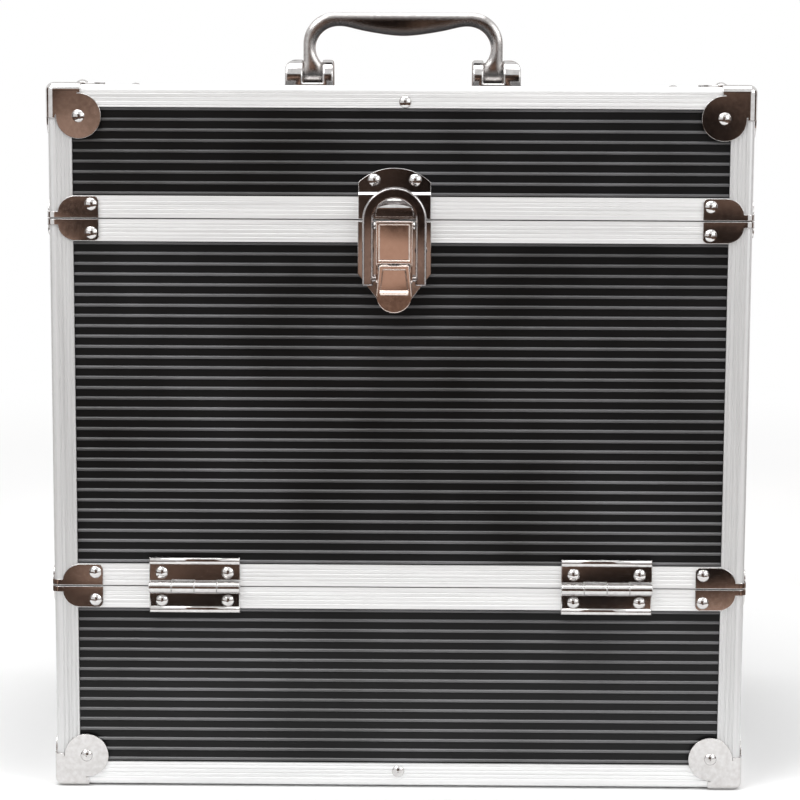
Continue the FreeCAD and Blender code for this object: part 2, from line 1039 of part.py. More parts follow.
def arch(half, foot):
    """Front outline of a long loop: an arch at the top, square below, down to a height."""
    return [
        line(point(half, 0, foot), point(half, 0, bail_centre)),
        arc(point(half, 0, bail_centre), point(0, 0, bail_centre + half), point(-half, 0, bail_centre)),
        line(point(-half, 0, bail_centre), point(-half, 0, foot)),
        line(point(-half, 0, foot), point(half, 0, foot)),
    ]


def bail():
    """Bail: a flat loop open at the bottom, with a stub inside each leg that turns in the lever."""
    foot = -bail_pivot_drop - bail_tail
    outer = outline_face(arch(bail_half_width, foot)).extrude(Y * -bail_thickness)
    inner = outline_face(arch(bail_inner, foot - overrun)).extrude(Y * -(bail_thickness + 2 * overrun))
    inner.translate(Y * overrun)
    loop = outer.cut(inner)
    rim = [
        e
        for e in loop.Edges
        if all(v.Point.y < -bail_thickness / 2 for v in e.Vertexes)
        and max(v.Point.z for v in e.Vertexes) > foot + bail_tail
    ]
    loop = loop.makeFillet(bail_thickness / 3, rim)
    loop.translate(Y * -bail_proud)
    reach = bail_inner - lever_width / 2 + lever_wall
    parts = [loop]
    for x in (-bail_inner - overrun, bail_inner - reach):
        parts.append(rod(point(x, -bail_middle, -bail_pivot_drop), X, bail_stub_radius, reach + overrun))
    return joined(parts)


def catch_tab():
    """Safety catch on the lever: a flared tab with a ridge and a round end, and its tooth behind."""
    top = -lever_bottom_drop - catch_gap
    ridge = -catch_ridge_drop
    high = catch_top_width / 2
    wide = catch_low_width / 2
    edges = chain([point(-wide, 0, ridge), point(-high, 0, top), point(high, 0, top), point(wide, 0, ridge)])
    edges.append(arc(point(wide, 0, ridge), point(0, 0, -catch_end_drop), point(-wide, 0, ridge)))
    plate = outline_face(edges).extrude(Y * -lever_wall)
    plate.translate(Y * -lever_back)
    margin = catch_field_margin
    field = prism(
        [
            point(-wide + margin, 0, ridge + margin),
            point(-high + margin, 0, top - margin),
            point(high - margin, 0, top - margin),
            point(wide - margin, 0, ridge + margin),
        ],
        Y * (lever_field_depth + overrun),
    )
    field.translate(Y * (-lever_face_proud - overrun))
    ridge_bar = side_outline(
        [
            (lever_back, ridge),
            (lever_face_proud, ridge),
            (lever_face_proud + catch_ridge_height, ridge + catch_ridge_width / 2),
            (lever_face_proud, ridge + catch_ridge_width),
            (lever_back, ridge + catch_ridge_width),
        ],
        -wide + margin,
        catch_low_width - 2 * margin,
    )
    tooth = block(
        -tooth_width / 2,
        tooth_width / 2,
        -lever_face_proud,
        -tooth_proud,
        -post_bottom_drop - spring_gap - tooth_height,
        -post_bottom_drop - spring_gap,
    )
    barrel = cross_rod(
        catch_pivot_proud, -catch_pivot_drop, catch_knuckle_radius, catch_knuckle_width / 2
    )
    slot = block(
        -catch_knuckle_slot / 2,
        catch_knuckle_slot / 2,
        -lever_back,
        0,
        -catch_pivot_drop - 2 * catch_knuckle_radius,
        -catch_pivot_drop + 2 * catch_knuckle_radius,
    )
    bore = cross_rod(
        catch_pivot_proud, -catch_pivot_drop, catch_pin_radius + pin_clearance, catch_knuckle_width
    )
    return joined([plate.cut(field), ridge_bar, tooth, barrel.cut(slot)]).cut(bore)


def catch_pin():
    return cross_rod(catch_pivot_proud, -catch_pivot_drop, catch_pin_radius, lever_width / 2)


def catch_spring():
    """Small torsion spring on the catch's pin, between the halves of its barrel."""
    length = catch_knuckle_slot - 2 * spring_gap - 2 * spring_wire_radius
    pitch = length / spring_turns
    helix = Part.makeHelix(pitch, length, spring_coil_radius)
    wire = Part.Wire(helix.Edges)
    start = wire.Edges[0].valueAt(wire.Edges[0].FirstParameter)
    slope = wire.Edges[0].tangentAt(wire.Edges[0].FirstParameter)
    ring = Part.Wire(Part.makeCircle(spring_wire_radius, start, slope))
    coil = wire.makePipeShell([ring], True, True)
    coil.rotate(ORIGIN, Y, 90)
    coil.translate(point(-length / 2, -catch_pivot_proud, -catch_pivot_drop))
    return coil


# Handle, built with its feet at z = 0 and its middle at x = 0


def at_handle(shape):
    shape.translate(point(0, middle_y, crest_top))
    return shape


def bracket(side):
    """Handle bracket: two ears on a floor, the outer ear broad with a rounded shoulder."""
    outer = bracket_span / 2
    slot_outer = outer - bracket_outer_ear
    slot_inner = slot_outer - bracket_slot
    inner = slot_inner - bracket_inner_ear
    top = bracket_height
    big = bracket_outer_round
    small = bracket_inner_round
    turn = 1 - math.sqrt(0.5)
    edges = [
        line(point(outer, 0, 0), point(outer, 0, top - big)),
        arc(
            point(outer, 0, top - big),
            point(outer - big * turn, 0, top - big * turn),
            point(outer - big, 0, top),
        ),
    ]
    edges += chain(
        [
            point(outer - big, 0, top),
            point(slot_outer, 0, top),
            point(slot_outer, 0, bracket_floor),
            point(slot_inner, 0, bracket_floor),
            point(slot_inner, 0, top),
            point(inner + small, 0, top),
        ]
    )
    edges.append(
        arc(
            point(inner + small, 0, top),
            point(inner + small * turn, 0, top - small * turn),
            point(inner, 0, top - small),
        )
    )
    edges += chain([point(inner, 0, top - small), point(inner, 0, 0), point(outer, 0, 0)])
    half = bracket_depth / 2
    form = outline_face(edges).extrude(Y * bracket_depth)
    form.translate(Y * -half)
    side_view = [
        line(point(0, -half, 0), point(0, half, 0)),
        line(point(0, half, 0), point(0, half, top - half)),
        arc(point(0, half, top - half), point(0, 0, top), point(0, -half, top - half)),
        line(point(0, -half, top - half), point(0, -half, 0)),
    ]
    form = form.common(outline_face(side_view).extrude(X * bracket_span))
    bore = rod(
        point(0, 0, handle_pin_height),
        X,
        handle_pin_radius + pin_clearance,
        slot_outer + bracket_outer_ear / 2,
    )
    form = form.cut(bore)
    return form if side > 0 else form.mirror(ORIGIN, X)


def handle_pin(side):
    outer = bracket_span / 2 - bracket_outer_ear / 2
    inner = bracket_span / 2 - bracket_outer_ear - bracket_slot - bracket_inner_ear
    start = inner if side > 0 else -outer
    return rod(point(start, 0, handle_pin_height), X, handle_pin_radius, outer - inner)


def handle_grip():
    """Cast bail handle: round shoulders, a belly in the middle, and a round foot in each bracket."""
    outer = bracket_span / 2 - bracket_outer_ear - leg_clearance
    foot_inner = bracket_span / 2 - bracket_outer_ear - bracket_slot + leg_clearance
    low = handle_pin_height
    top = handle_top
    shoulder = shoulder_radius
    turn = shoulder * (1 - math.sqrt(0.5))
    bend = top * leg_bend_share
    right_side_points = [point(outer * across, 0, top * up) for across, up in grip_inside_shares]
    left_side_points = [point(-p.x, 0, p.z) for p in right_side_points[-2::-1]]
    inside = Part.BSplineCurve()
    inside.interpolate(
        [point(foot_inner, 0, bend)] + right_side_points + left_side_points + [point(-foot_inner, 0, bend)]
    )
    edges = [
        line(point(foot_inner, 0, low), point(outer, 0, low)),
        line(point(outer, 0, low), point(outer, 0, top - shoulder)),
        arc(
            point(outer, 0, top - shoulder),
            point(outer - turn, 0, top - turn),
            point(outer - shoulder, 0, top),
        ),
        line(point(outer - shoulder, 0, top), point(shoulder - outer, 0, top)),
        arc(
            point(shoulder - outer, 0, top),
            point(turn - outer, 0, top - turn),
            point(-outer, 0, top - shoulder),
        ),
        line(point(-outer, 0, top - shoulder), point(-outer, 0, low)),
        line(point(-outer, 0, low), point(-foot_inner, 0, low)),
        line(point(-foot_inner, 0, low), point(-foot_inner, 0, bend)),
        inside.toShape(),
        line(point(foot_inner, 0, bend), point(foot_inner, 0, low)),
    ]
    half = handle_thickness / 2
    form = outline_face(Part.__sortEdges__(edges)).extrude(Y * handle_thickness)
    form.translate(Y * -half)
    rim = [
        e
        for e in form.Edges
        if max(v.Point.z for v in e.Vertexes) > low + overrun
        and (all(v.Point.y > 0 for v in e.Vertexes) or all(v.Point.y < 0 for v in e.Vertexes))
    ]
    form = form.makeFillet(handle_edge_round, rim)
    feet = [
        rod(point(start, 0, low), X, half, outer - foot_inner) for start in (foot_inner, -outer)
    ]
    bore = rod(
        point(-outer - overrun, 0, low), X, handle_pin_radius + pin_clearance, 2 * (outer + overrun)
    )
    return joined([form] + feet).cut(bore)


# Assembly


def lid_nodes():
    seats = corner_seats(case_top, 1) + flat_seats(case_top, 1)
    seats += brace_seats(lid_floor, 1, (-1, 1), True) + rail_seats(case_top, 1)
    seats += hinge_seats(1, high_seam, 1) + keeper_seats()
    low = lid_floor + rim_cap_wall
    rail_end = case_top - top_leg
    nodes = {
        "lid_top_panel": [lid_top_panel()],
        "lid_front_panel": [
            joined([cross_board(-1, low, lid_ceiling), front_facing(-1, lid_floor + rim_leg, rail_end)])
        ],
        "lid_back_panel": [
            joined([cross_board(1, low, lid_ceiling), front_facing(1, lid_floor + rim_leg, rail_end)])
        ],
        "lid_left_panel": [lid_side_panel(-1)],
        "lid_right_panel": [lid_side_panel(1)],
        "lid_corner_posts": [post(sx, sy, low, rail_end) for sx, sy in OCTANTS],
        "lid_cross_rails": [long_rail(sy, case_top, 1, top_leg) for sy in (-1, 1)],
        "lid_side_rails": [side_rail(sx, case_top, 1, top_leg) for sx in (-1, 1)],
        "lid_cross_rims": [cross_rim(sy, lid_floor, 1, rim_cap_depth) for sy in (-1, 1)],
        "lid_side_rims": [
            side_rim(
                sx,
                lid_floor,
                1,
                front_face + rim_cap_depth,
                back_face - rim_cap_depth,
                front_face + profile_leg,
                back_face - profile_leg,
            )
            for sx in (-1, 1)
        ],
        "lid_corners": [
            placed(corner_cap(False), -sx, -sy, -1, point(side_x(sx), side_y(sy), case_top))
            for sx, sy in OCTANTS
        ],
        "lid_braces": braces(lid_floor, 1, (-1, 1), brace_reach),
        "rear_hinge_lid_leaves": leaves(1, high_seam, 1, 0, leaf_height_above),
        "latch_keeper": [at_latch(keeper())],
    }
    nodes = {name: [drilled(shape, seats) for shape in shapes] for name, shapes in nodes.items()}
    nodes["lid_rivets"] = [rivet(at, outward) for at, outward in seats]
    nodes["lid_top_lining"] = [floor_lining(lid_ceiling - lining_thickness)]
    side_top = lid_ceiling - lining_thickness - lining_gap
    nodes["lid_wall_linings"] = [
        side_lining(sx, low + lining_gap, side_top, inner_front + lining_gap, inner_back - lining_gap)
        for sx in (-1, 1)
    ] + [cross_lining(sy, low + lining_gap, side_top) for sy in (-1, 1)]
    return nodes


def handle_nodes():
    return {
        "handle_brackets": [at_handle(bracket(side)) for side in (-1, 1)],
        "handle_pins": [at_handle(handle_pin(side)) for side in (-1, 1)],
        "handle": [at_handle(handle_grip())],
    }


def flap_nodes():
    seats = brace_seats(flap_top, -1, (-1,), False) + brace_seats(flap_bottom, 1, (-1,), False)
    seats += hinge_seats(-1, low_seam, 1) + base_seats()
    nodes = {
        "flap_panel": [flap_panel()],
        "flap_posts": [
            post(sx, -1, flap_bottom + rim_cap_wall, flap_top - rim_cap_wall) for sx in (-1, 1)
        ],
        "flap_rims": [
            cross_rim(-1, flap_bottom, 1, profile_leg),
            cross_rim(-1, flap_top, -1, profile_leg),
        ],
        "flap_braces": braces(flap_top, -1, (-1,), short_ear_reach)
        + braces(flap_bottom, 1, (-1,), short_ear_reach),
        "front_hinge_flap_leaves": leaves(-1, low_seam, 1, 0, leaf_height_above),
        "latch_base": [at_latch(latch_base())],
    }
    nodes = {name: [drilled(shape, seats) for shape in shapes] for name, shapes in nodes.items()}
    nodes["flap_rivets"] = [rivet(at, outward) for at, outward in seats]
    nodes["flap_lining"] = [
        cross_lining(-1, flap_bottom + rim_cap_wall + lining_gap, flap_top - rim_cap_wall - lining_gap)
    ]
    nodes["latch_lever_pin"] = [at_latch(lever_pin())]
    nodes["latch_lever"] = [at_latch(lever())]
    nodes["latch_bail"] = [at_latch(bail())]
    nodes["catch_pin"] = [at_latch(catch_pin())]
    nodes["catch_spring"] = [at_latch(catch_spring())]
    nodes["catch_tab"] = [at_latch(catch_tab())]
    return nodes


def body_nodes():
    seats = corner_seats(case_bottom, -1)
    seats += brace_seats(lower_top, -1, (-1,), True) + brace_seats(flap_top, -1, (1,), True)
    seats += rail_seats(case_bottom, -1)
    seats += hinge_seats(-1, low_seam, -1) + hinge_seats(1, high_seam, -1)
    floor_seats = flat_seats(case_bottom, -1)
    rail_end = case_bottom + profile_leg
    nodes = {
        "base_panel": [flat_board(case_bottom + profile_wall)],
        "body_front_panel": [
            joined(
                [
                    cross_board(-1, base_floor, lower_top - rim_cap_wall),
                    front_facing(-1, rail_end, lower_top - rim_leg),
                ]
            )
        ],
        "body_back_panel": [
            joined(
                [
                    cross_board(1, base_floor, flap_top - rim_cap_wall),
                    front_facing(1, rail_end, flap_top - rim_leg),
                ]
            )
        ],
        "body_left_panel": [lower_side_panel(-1)],
        "body_right_panel": [lower_side_panel(1)],
        "body_front_posts": [post(sx, -1, rail_end, lower_top - rim_cap_wall) for sx in (-1, 1)],
        "body_rear_posts": [post(sx, 1, rail_end, flap_top - rim_cap_wall) for sx in (-1, 1)],
        "base_cross_rails": [long_rail(sy, case_bottom, -1, profile_leg) for sy in (-1, 1)],
        "base_side_rails": [side_rail(sx, case_bottom, -1, profile_leg) for sx in (-1, 1)],
        "body_front_rim": [cross_rim(-1, lower_top, -1, opening_cap_depth)],
        "body_back_rim": [cross_rim(1, flap_top, -1, rim_cap_depth)],
        "body_side_rims": [
            side_rim(
                sx,
                flap_top,
                -1,
                opening_front,
                back_face - rim_cap_depth,
                opening_front + rim_leg,
                back_face - profile_leg,
            )
            for sx in (-1, 1)
        ],
        "opening_posts": [opening_post(sx) for sx in (-1, 1)],
        "base_corners": [
            placed(corner_cap(True), -sx, -sy, 1, point(side_x(sx), side_y(sy), case_bottom))
            for sx, sy in OCTANTS
        ],
        "body_braces": braces(lower_top, -1, (-1,), brace_reach) + braces(flap_top, -1, (1,), brace_reach),
        "front_hinge_body_leaves": leaves(-1, low_seam, -1, 1, leaf_height_below),
        "rear_hinge_body_leaves": leaves(1, high_seam, -1, 1, leaf_height_below),
    }
    nodes = {
        name: [drilled(shape, seats + floor_seats) for shape in shapes] for name, shapes in nodes.items()
    }
    nodes["body_rivets"] = [rivet(at, outward) for at, outward in seats]
    nodes["base_rivets"] = [flush_rivet(at, outward) for at, outward in floor_seats]
    nodes["front_hinge_pins"] = hinge_pins(axis_front, low_seam)
    nodes["rear_hinge_pins"] = hinge_pins(axis_back, high_seam)
    nodes["base_lining"] = [floor_lining(base_floor)]
    nodes["body_front_lining"] = [
        cross_lining(-1, lining_floor, lower_top - rim_cap_wall - lining_gap)
    ]
    nodes["body_back_lining"] = [cross_lining(1, lining_floor, flap_top - rim_cap_wall - lining_gap)]
    nodes["body_left_lining"] = [lower_side_lining(-1)]
    nodes["body_right_lining"] = [lower_side_lining(1)]
    return nodes


def export(nodes):
    os.makedirs("parts", exist_ok=True)
    for name, shapes in nodes.items():
        shape = shapes[0] if len(shapes) == 1 else group(shapes)
        shape.exportStep("parts/" + name + ".step")
        print(name, len(shape.Solids), round(shape.Volume), shape.isValid())


for build in (body_nodes, flap_nodes, lid_nodes, handle_nodes):
    export(build())
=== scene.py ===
import json
import math

import bmesh
import bpy
from mathutils import Matrix, Vector

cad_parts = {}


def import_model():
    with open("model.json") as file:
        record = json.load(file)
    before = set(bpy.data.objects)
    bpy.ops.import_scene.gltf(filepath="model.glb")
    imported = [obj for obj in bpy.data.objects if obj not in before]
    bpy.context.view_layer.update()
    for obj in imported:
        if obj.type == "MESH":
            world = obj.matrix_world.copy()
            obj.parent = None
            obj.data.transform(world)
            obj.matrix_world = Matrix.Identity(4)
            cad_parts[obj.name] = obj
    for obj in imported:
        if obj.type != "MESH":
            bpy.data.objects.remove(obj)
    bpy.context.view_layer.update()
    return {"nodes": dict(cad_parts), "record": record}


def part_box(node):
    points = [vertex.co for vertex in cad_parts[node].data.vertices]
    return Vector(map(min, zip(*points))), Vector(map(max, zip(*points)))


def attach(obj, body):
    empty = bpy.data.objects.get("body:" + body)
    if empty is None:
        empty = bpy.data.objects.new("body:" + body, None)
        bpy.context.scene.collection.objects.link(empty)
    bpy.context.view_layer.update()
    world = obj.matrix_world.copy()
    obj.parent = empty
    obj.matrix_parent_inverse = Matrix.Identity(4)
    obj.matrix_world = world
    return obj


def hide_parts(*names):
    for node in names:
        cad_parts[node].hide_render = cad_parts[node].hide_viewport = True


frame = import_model()

MM = 0.001

# The photo's view, fitted to the case: place in mm, yaw, pitch and roll in degrees, focal length
CAMERA_PLACE = (9.04, -1269.12, 350.01)
CAMERA_TURN = (-0.446, 7.417, 0.262)
CAMERA_LENS = 103.74
SENSOR_WIDTH = 36.0

# Level of the surroundings' light, and the lamps: place, target, size and power
WORLD_LIGHT = 0.75
LAMPS = {
    "key": ((-0.9, -1.1, 1.5), (0, 0, 0.2), (0.9, 0.9), 14),
    "fill": ((1.1, -0.9, 0.9), (0, 0, 0.2), (0.8, 0.8), 6),
    "top": ((0, -0.15, 1.6), (0, 0, 0.3), (1.2, 0.9), 12),
}

# The floor turns from pale to plain white between two values of a gradient round the case
FLOOR_HALF = 20.0
FLOOR_FADE_SCALE = 0.45
FLOOR_FADE_ENDS = (0.3, 0.8)

# Ring of glowing boards, dark brown to pinkish, that only the plating mirrors
CARD_COUNT = 8
CARD_HALF = 0.6
CARD_FOOT = 0.003
CARD_TOP = 1.15
CARD_NEAR = 0.47
CARD_FAR = 2.0
# Scale of the brighter and darker patches of glow, and the glow's tones
CARD_GLOW_PATCHES = 5.2
CARD_GLOW_TONES = [
    (0.36, (0.012, 0.009, 0.008)),
    (0.47, (0.055, 0.036, 0.028)),
    (0.56, (0.16, 0.098, 0.072)),
    (0.66, (0.46, 0.30, 0.23)),
]

# Ends of every two-tone ramp, as shares of the noise that drives it
LOW_STOP = 0.3
HIGH_STOP = 0.7

# Drawing streaks of the aluminium and its two tones
STREAKS_ACROSS = 900.0
STREAKS_ALONG = 9.0
ALUMINIUM_LOW = 0.70
ALUMINIUM_HIGH = 0.86

# What counts as one flat face, and which edges are rounded, in degrees
MERGE_DISTANCE = 0.002 * MM
FLAT_ANGLE = 0.6
HARDWARE_EDGE_ANGLE = 38
FOAM_EDGE_ANGLE = 40
FOAM_ROUNDING = 0.8
BEVEL_SEGMENTS = 2

# Rolled lips of the hinge leaves
LEAF_WIDTH = 46.0 * MM
LIP_HEIGHT = 3.4 * MM
LIP_PROUD = 0.8 * MM
LIP_CENTRE_INSET = 1.75 * MM
LIP_SIDE_INSET = 0.2 * MM
LIP_END_INSET = 0.25 * MM
LIP_END_SHARE = 0.72
LIP_STEPS = 10

# Ribs stand out to the crest. Their flanks slope. Crests and flanks that don't face down get the
# paler rib colour, a painted highlight, and the undersides keep the sheet's black
CREST_DEPTH = 0.05 * MM
FLANK_LOW, FLANK_HIGH = 0.2, 0.95
LOWEST_FLANK = -0.1

# Bevels that soften the pressed and cast pieces, by node, in mm
BEVELS = {
    "base_corners": 0.35,
    "lid_corners": 0.35,
    "body_braces": 0.45,
    "flap_braces": 0.45,
    "lid_braces": 0.45,
    "front_hinge_body_leaves": 0.3,
    "front_hinge_flap_leaves": 0.3,
    "rear_hinge_body_leaves": 0.3,
    "rear_hinge_lid_leaves": 0.3,
    "latch_keeper": 0.45,
    "latch_base": 0.45,
    "latch_lever": 0.5,
    "latch_bail": 0.95,
    "catch_tab": 0.5,
    "handle_brackets": 0.8,
}
# Chrome of the cast handle and the latch's moving pieces, which differs from the rest's: darker
# copies carry painted shade, and the lever's and catch's warm copy a painted pinkish reflection
PAINTED_LIGHT_PLATING = {
    "handle": "grip_chrome_painted_shade",
    "handle_brackets": "bracket_chrome_painted_shade",
    "latch_bail": "bail_chrome_painted_shade",
    "latch_lever": "latch_chrome_painted_reflection",
    "catch_tab": "latch_chrome_painted_reflection",
}
CHROME = {
    "handle",
    "lid_rivets",
    "flap_rivets",
    "body_rivets",
    "base_rivets",
}
STEEL = {
    "front_hinge_pins",
    "rear_hinge_pins",
    "latch_lever_pin",
    "catch_pin",
    "catch_spring",
    "handle_pins",
}
LININGS = {
    "lid_top_lining",
    "lid_wall_linings",
    "flap_lining",
    "base_lining",
    "body_front_lining",
    "body_back_lining",
    "body_left_lining",
    "body_right_lining",
}
# Outward side of each ribbed facing: axis and sign
FACINGS = {
    "lid_front_panel": (1, -1),
    "flap_panel": (1, -1),
    "body_front_panel": (1, -1),
    "lid_back_panel": (1, 1),
    "body_back_panel": (1, 1),
    "lid_left_panel": (0, -1),
    "body_left_panel": (0, -1),
    "lid_right_panel": (0, 1),
    "body_right_panel": (0, 1),
    "lid_top_panel": (2, 1),
}
# Hinge leaves: outward sign along y, and above the seam or below it
LEAVES = {
    "front_hinge_flap_leaves": (-1, 1),
    "front_hinge_body_leaves": (-1, -1),
    "rear_hinge_lid_leaves": (1, 1),
    "rear_hinge_body_leaves": (1, -1),
}
# Outer faces of the front and rear leaves
LEAF_FACES = {-1: -0.1238, 1: 0.1286}


# Node materials


class Shader:
    """A node material with short names for the nodes that the finishes share."""

    def __init__(self, name):
        self.material = bpy.data.materials.new(name)
        self.material.use_nodes = True
        self.tree = self.material.node_tree
        self.bsdf = self.tree.nodes["Principled BSDF"]
        self.place = self.add("ShaderNodeTexCoord").outputs["Object"]

    def add(self, kind, **settings):
        node = self.tree.nodes.new(kind)
        for key, value in settings.items():
            setattr(node, key, value)
        return node

    def link(self, source, target):
        self.tree.links.new(source, target)

    def set(self, **values):
        for key, value in values.items():
            self.bsdf.inputs[key.replace("_", " ")].default_value = value

    def stretched(self, scale):
        node = self.add("ShaderNodeMapping")
        node.inputs["Scale"].default_value = scale
        self.link(self.place, node.inputs["Vector"])
        return node.outputs["Vector"]

    def noise(self, scale, detail=3.0, stretch=None, roughness=0.5):
        node = self.add("ShaderNodeTexNoise")
        node.inputs["Scale"].default_value = scale
        node.inputs["Detail"].default_value = detail
        node.inputs["Roughness"].default_value = roughness
        self.link(self.stretched(stretch) if stretch else self.place, node.inputs["Vector"])
        return node.outputs["Fac"]

    def ramp(self, source, stops):
        node = self.add("ShaderNodeValToRGB")
        elements = node.color_ramp.elements
        while len(elements) < len(stops):
            elements.new(0.5)
        for element, (place, colour) in zip(elements, stops):
            element.position = place
            element.color = (*colour, 1)
        self.link(source, node.inputs["Fac"])
        return node.outputs["Color"]

    def two_tone(self, source, low, high):
        self.colour(self.ramp(source, [(LOW_STOP, low), (HIGH_STOP, high)]))

    def range(self, source, low, high):
        node = self.add("ShaderNodeMapRange")
        node.inputs["To Min"].default_value = low
        node.inputs["To Max"].default_value = high
        self.link(source, node.inputs["Value"])
        return node.outputs["Result"]

    def rounded(self, radius):
        """Shades the edges of a face as if they were rounded."""
        node = self.add("ShaderNodeBevel", samples=6)
        node.inputs["Radius"].default_value = radius
        self.link(node.outputs["Normal"], self.bsdf.inputs["Normal"])
        return node.outputs["Normal"]

    def bump(self, source, distance, strength=1.0, over=None):
        node = self.add("ShaderNodeBump")
        if over:
            self.link(over, node.inputs["Normal"])
        node.inputs["Distance"].default_value = distance
        node.inputs["Strength"].default_value = strength
        self.link(source, node.inputs["Height"])
        self.link(node.outputs["Normal"], self.bsdf.inputs["Normal"])

    def colour(self, source):
        self.link(source, self.bsdf.inputs["Base Color"])

    def rough(self, source):
        self.link(source, self.bsdf.inputs["Roughness"])


def grey(level):
    return (level, level, level)


def cool_grey(level):
    return (level, level, level * 1.05)


def aluminium(name, lengthwise, level):
    """Satin anodised aluminium with the fine streaks of drawing along one axis."""
    shader = Shader(name)
    stretch = [STREAKS_ACROSS] * 3
    stretch[lengthwise] = STREAKS_ALONG
    streaks = shader.noise(1.0, detail=4.0, stretch=tuple(stretch), roughness=0.6)
    shader.two_tone(streaks, grey(ALUMINIUM_LOW * level), grey(ALUMINIUM_HIGH * level))
    shader.rough(shader.range(streaks, low=0.33, high=0.47))
    shader.set(Metallic=0.45)
    shader.bump(streaks, distance=0.04 * MM, strength=0.5)
    return shader.material


def chrome(name, low, high, rounding):
    """Bright plating with the faint waviness and haze of pressed steel."""
    shader = Shader(name)
    waves = shader.noise(30.0, detail=1.0)
    haze = shader.noise(420.0, detail=4.0)
    shader.two_tone(haze, low, high)
    shader.rough(shader.range(haze, low=0.03, high=0.09))
    shader.set(Metallic=1.0)
    shader.bump(waves, distance=0.6 * MM, strength=0.35, over=shader.rounded(rounding))
    return shader.material


def steel():
    """Pins and springs, turned or drawn, with fine rings."""
    shader = Shader("turned_steel")
    rings = shader.noise(1.0, stretch=(2500.0, 120.0, 120.0))
    shader.two_tone(rings, grey(0.42), grey(0.58))
    shader.rough(shader.range(rings, low=0.2, high=0.34))
    shader.set(Metallic=1.0)
    return shader.material


def ribbed_plastic(name, dark, pale, specular, rounding):
    """Black satin sheet with a fine grain and cloudiness. With the paler values it is the ribs'
    painted highlight, its brightness varied by the cloud.
    """
    shader = Shader(name)
    grain = shader.noise(2600.0, detail=2.0)
    cloud = shader.noise(14.0)
    shader.two_tone(cloud, grey(dark), cool_grey(pale))
    shader.rough(shader.range(cloud, low=0.26, high=0.34))
    shader.set(Specular_IOR_Level=specular)
    edges = shader.rounded(rounding) if rounding else None
    shader.bump(grain, distance=0.02 * MM, strength=0.5, over=edges)
    return shader.material


def laminate():
    """Black laminate of the base board, with a leathery grain."""
    shader = Shader("black_laminate")
    grain = shader.noise(900.0)
    shader.two_tone(grain, grey(0.012), grey(0.022))
    shader.rough(shader.range(grain, low=0.45, high=0.6))
    shader.bump(grain, distance=0.06 * MM, strength=0.6)
    return shader.material


def foam():
    """Closed-cell foam sheet with a soft pitted skin."""
    shader = Shader("lining_foam")
    cells = shader.add("ShaderNodeTexVoronoi")
    cells.inputs["Scale"].default_value = 900.0
    shader.link(shader.place, cells.inputs["Vector"])
    cloud = shader.noise(18.0, detail=4.0)
    shader.two_tone(cloud, grey(0.018), cool_grey(0.03))
    shader.rough(shader.range(cloud, low=0.78, high=0.92))
    shader.set(Sheen_Weight=0.25, Sheen_Roughness=0.5)
    shader.bump(cells.outputs["Distance"], distance=0.4 * MM, strength=0.6)
    return shader.material


def dress(obj, material):
    slots = obj.data.materials
    if len(slots):
        for i in range(len(slots)):
            slots[i] = material
    else:
        slots.append(material)


MATERIALS = {
    "alu_x": aluminium("anodised_along_x", lengthwise=0, level=1.02),
    "alu_y": aluminium("anodised_along_y", lengthwise=1, level=1.0),
    "alu_z": aluminium("anodised_along_z", lengthwise=2, level=0.8),
    "chrome": chrome(
        "chrome_plate", low=(0.56, 0.54, 0.53), high=(0.68, 0.67, 0.665), rounding=0.5 * MM
    ),
    # Darker copy of the chrome: painted shade on the handle's grip, with a wide edge rounding
    "grip_chrome_painted_shade": chrome(
        "grip_chrome_with_painted_shade", low=(0.46, 0.44, 0.43), high=(0.56, 0.54, 0.53), rounding=4.5 * MM
    ),
    # Slightly darker copy of the chrome: painted shade, a greyer look on the handle brackets
    "bracket_chrome_painted_shade": chrome(
        "bracket_chrome_with_painted_shade", low=(0.52, 0.505, 0.50), high=(0.62, 0.605, 0.60), rounding=1.4 * MM
    ),
    # Darker copy of the chrome: painted shade on the latch bail
    "bail_chrome_painted_shade": chrome(
        "bail_chrome_with_painted_shade", low=(0.40, 0.38, 0.38), high=(0.50, 0.48, 0.48), rounding=1.1 * MM
    ),
    # Warm pinkish copy of the chrome: painted reflection on the latch lever and catch tab
    "latch_chrome_painted_reflection": chrome(
        "chrome_with_painted_warm_reflection", low=(0.86, 0.74, 0.67), high=(0.96, 0.84, 0.77), rounding=0.8 * MM
    ),
    "steel": steel(),
    "sheet": ribbed_plastic("black_sheet", dark=0.003, pale=0.007, specular=0.2, rounding=0),
    # Paler copy of the sheet: painted highlight on the rib crests and upper flanks, its brightness
    # varied by the cloud noise
    "ribs": ribbed_plastic(
        "black_sheet_painted_rib_highlight", dark=0.025, pale=0.105, specular=1.0, rounding=0.45 * MM
    ),
    "laminate": laminate(),
    "foam": foam(),
}


def node_body(node):
    for body, nodes in frame["record"]["behaviour"]["bodies"].items():
        if node in nodes:
            return body


def finish_of(node):
    if node in STEEL:
        return "steel"
    if node in CHROME or node in BEVELS:
        return PAINTED_LIGHT_PLATING.get(node, "chrome")
    if node == "base_panel":
        return "laminate"
    if node.endswith("_panel"):
        return "sheet"
    if node.endswith("_posts"):
        return "alu_z"
    if "side_r" in node:
        return "alu_y"
    return "alu_x"


# Softened hardware


